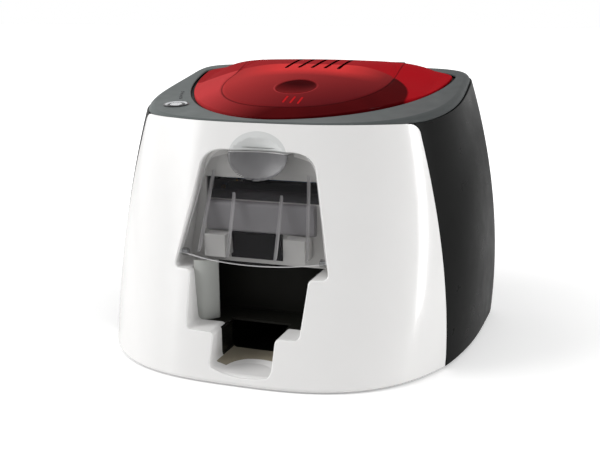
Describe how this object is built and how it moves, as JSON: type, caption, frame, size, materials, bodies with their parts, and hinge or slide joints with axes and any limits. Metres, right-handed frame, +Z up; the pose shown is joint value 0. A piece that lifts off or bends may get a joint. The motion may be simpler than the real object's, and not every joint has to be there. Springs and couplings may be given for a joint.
{
  "type": "id card printer",
  "caption": "Desk-top ID card printer with a rounded white and dark housing, red top cover, smoked feeder hood and thumb-notched output bay",
  "frame": {"origin": "middle of the footprint on the table", "axes": "+Z up, the front with the output bay faces -Y, +X to the right seen from the front"},
  "size_m": [0.3536, 0.281, 0.2533],
  "materials": {
    "housing_white": "gloss white moulded plastic",
    "housing_dark": "dark grey moulded plastic",
    "rim_grey": "mid grey satin plastic",
    "cover_red": "translucent red moulded plastic",
    "smoke_clear": "smoked translucent plastic",
    "inner_dark": "black inner plastic",
    "inner_pale": "pale grey inner plastic",
    "steel": "zinc plated sheet and turned steel",
    "aluminium": "extruded aluminium",
    "brass": "turned and sintered brass",
    "roller_rubber": "ground rubber covering",
    "foot_rubber": "soft rubber",
    "gear_nylon": "natural nylon",
    "button_silver": "silver painted plastic",
    "lamp_lens": "clear light pipe",
    "board_green": "solder-masked circuit board",
    "ribbon_dark": "dye ribbon film",
    "ceramic": "ceramic print head board"
  },
  "bodies": {
    "housing": {"front_shell": "housing_white", "rear_shell": "housing_dark", "top_rim": "rim_grey", "base_plate": "housing_dark", "rubber_feet": "foot_rubber", "base_screws": "steel", "lid_hinge_pins": "steel", "button_ring": "rim_grey", "button_spring": "steel", "control_board": "board_green", "status_lights": "lamp_lens", "hood_pins": "steel", "feeder_panel": "inner_pale", "card_guide": "inner_dark", "card_stops": "inner_pale", "output_tray": "inner_dark", "bay_corner": "inner_pale", "chassis_left": "steel", "chassis_right": "steel", "cross_rods": "steel", "shaft_bushes": "brass", "chassis_screws": "steel", "idler_pins": "steel", "drive_motor": "steel", "ribbon_cartridge": "inner_dark", "ribbon_film": "ribbon_dark", "ribbon_motor": "steel", "circuit_board": "board_green", "usb_socket": "steel", "power_inlet": "inner_dark"},
    "lid": {"lid_shell": "cover_red", "lid_liner": "cover_red", "head_carrier": "inner_dark", "print_head": "ceramic", "heat_sink": "aluminium"},
    "hood": {"feeder_hood": "smoke_clear"},
    "button": {"control_button": "button_silver"},
    "platen": {"platen_roller": "roller_rubber", "platen_shaft": "steel", "platen_gear": "gear_nylon"},
    "entry": {"entry_roller": "roller_rubber", "entry_shaft": "steel", "entry_gear": "gear_nylon"},
    "feed": {"feed_roller": "roller_rubber", "feed_shaft": "steel", "feed_gear": "gear_nylon"},
    "entry_idler_body": {"entry_idler": "gear_nylon"},
    "feed_idler_body": {"feed_idler": "gear_nylon"},
    "compound_body": {"compound_gear": "gear_nylon"},
    "motor_body": {"motor_shaft": "steel", "motor_pinion": "brass"},
    "take_up": {"take_up_core": "inner_pale", "take_up_ribbon_roll": "ribbon_dark", "take_up_gear": "gear_nylon"},
    "supply": {"supply_core": "inner_pale", "supply_ribbon_roll": "ribbon_dark"},
    "ribbon_drive": {"ribbon_motor_shaft": "steel", "ribbon_pinion": "brass"}
  },
  "joints": [
    {"name": "lid_hinge", "type": "hinge", "parent": "housing", "child": "lid", "pos_m": [0, 0.13, 0.2478], "axis": [-1, 0, 0], "range_deg": [0, 70]},
    {"name": "hood_tilt", "type": "hinge", "parent": "housing", "child": "hood", "pos_m": [0, -0.09301, 0.101], "axis": [1, 0, 0], "range_deg": [0, 35]},
    {"name": "button_press", "type": "slide", "parent": "housing", "child": "button", "axis": [0, 0, -1], "range_m": [0, 0.0015], "stiffness_N_per_m": 300, "springref_m": -0.0003, "deforming": ["button_spring"]},
    {"name": "platen_spin", "type": "hinge", "parent": "housing", "child": "platen", "pos_m": [0, 0.02, 0.143], "axis": [1, 0, 0], "continuous": true},
    {"name": "entry_spin", "type": "hinge", "parent": "housing", "child": "entry", "pos_m": [0, -0.02, 0.139], "axis": [1, 0, 0], "continuous": true},
    {"name": "feed_spin", "type": "hinge", "parent": "housing", "child": "feed", "pos_m": [0, -0.054, 0.139], "axis": [1, 0, 0], "continuous": true},
    {"name": "entry_idler_spin", "type": "hinge", "parent": "housing", "child": "entry_idler_body", "pos_m": [0, 0.0009, 0.13198], "axis": [1, 0, 0], "continuous": true},
    {"name": "feed_idler_spin", "type": "hinge", "parent": "housing", "child": "feed_idler_body", "pos_m": [0, -0.037, 0.12496], "axis": [1, 0, 0], "continuous": true},
    {"name": "compound_spin", "type": "hinge", "parent": "housing", "child": "compound_body", "pos_m": [0, 0.04455, 0.1224], "axis": [1, 0, 0], "continuous": true},
    {"name": "motor_spin", "type": "hinge", "parent": "housing", "child": "motor_body", "pos_m": [0, 0.0706, 0.09895], "axis": [1, 0, 0], "continuous": true},
    {"name": "take_up_spin", "type": "hinge", "parent": "housing", "child": "take_up", "pos_m": [0, 0.07, 0.178], "axis": [1, 0, 0], "continuous": true},
    {"name": "supply_spin", "type": "hinge", "parent": "housing", "child": "supply", "pos_m": [0, -0.045, 0.178], "axis": [1, 0, 0], "continuous": true},
    {"name": "ribbon_motor_spin", "type": "hinge", "parent": "housing", "child": "ribbon_drive", "pos_m": [0, 0.09602, 0.16298], "axis": [1, 0, 0], "continuous": true}
  ],
  "couplings": [
    {"joint": "entry_spin", "follows": "platen_spin", "ratio": 1},
    {"joint": "feed_spin", "follows": "platen_spin", "ratio": 1},
    {"joint": "entry_idler_spin", "follows": "platen_spin", "ratio": -1.75},
    {"joint": "feed_idler_spin", "follows": "platen_spin", "ratio": -1.75},
    {"joint": "compound_spin", "follows": "platen_spin", "ratio": -0.77778},
    {"joint": "motor_spin", "follows": "platen_spin", "ratio": 3.1111},
    {"joint": "supply_spin", "follows": "take_up_spin", "ratio": 0.77778},
    {"joint": "ribbon_motor_spin", "follows": "take_up_spin", "ratio": -4}
  ]
}
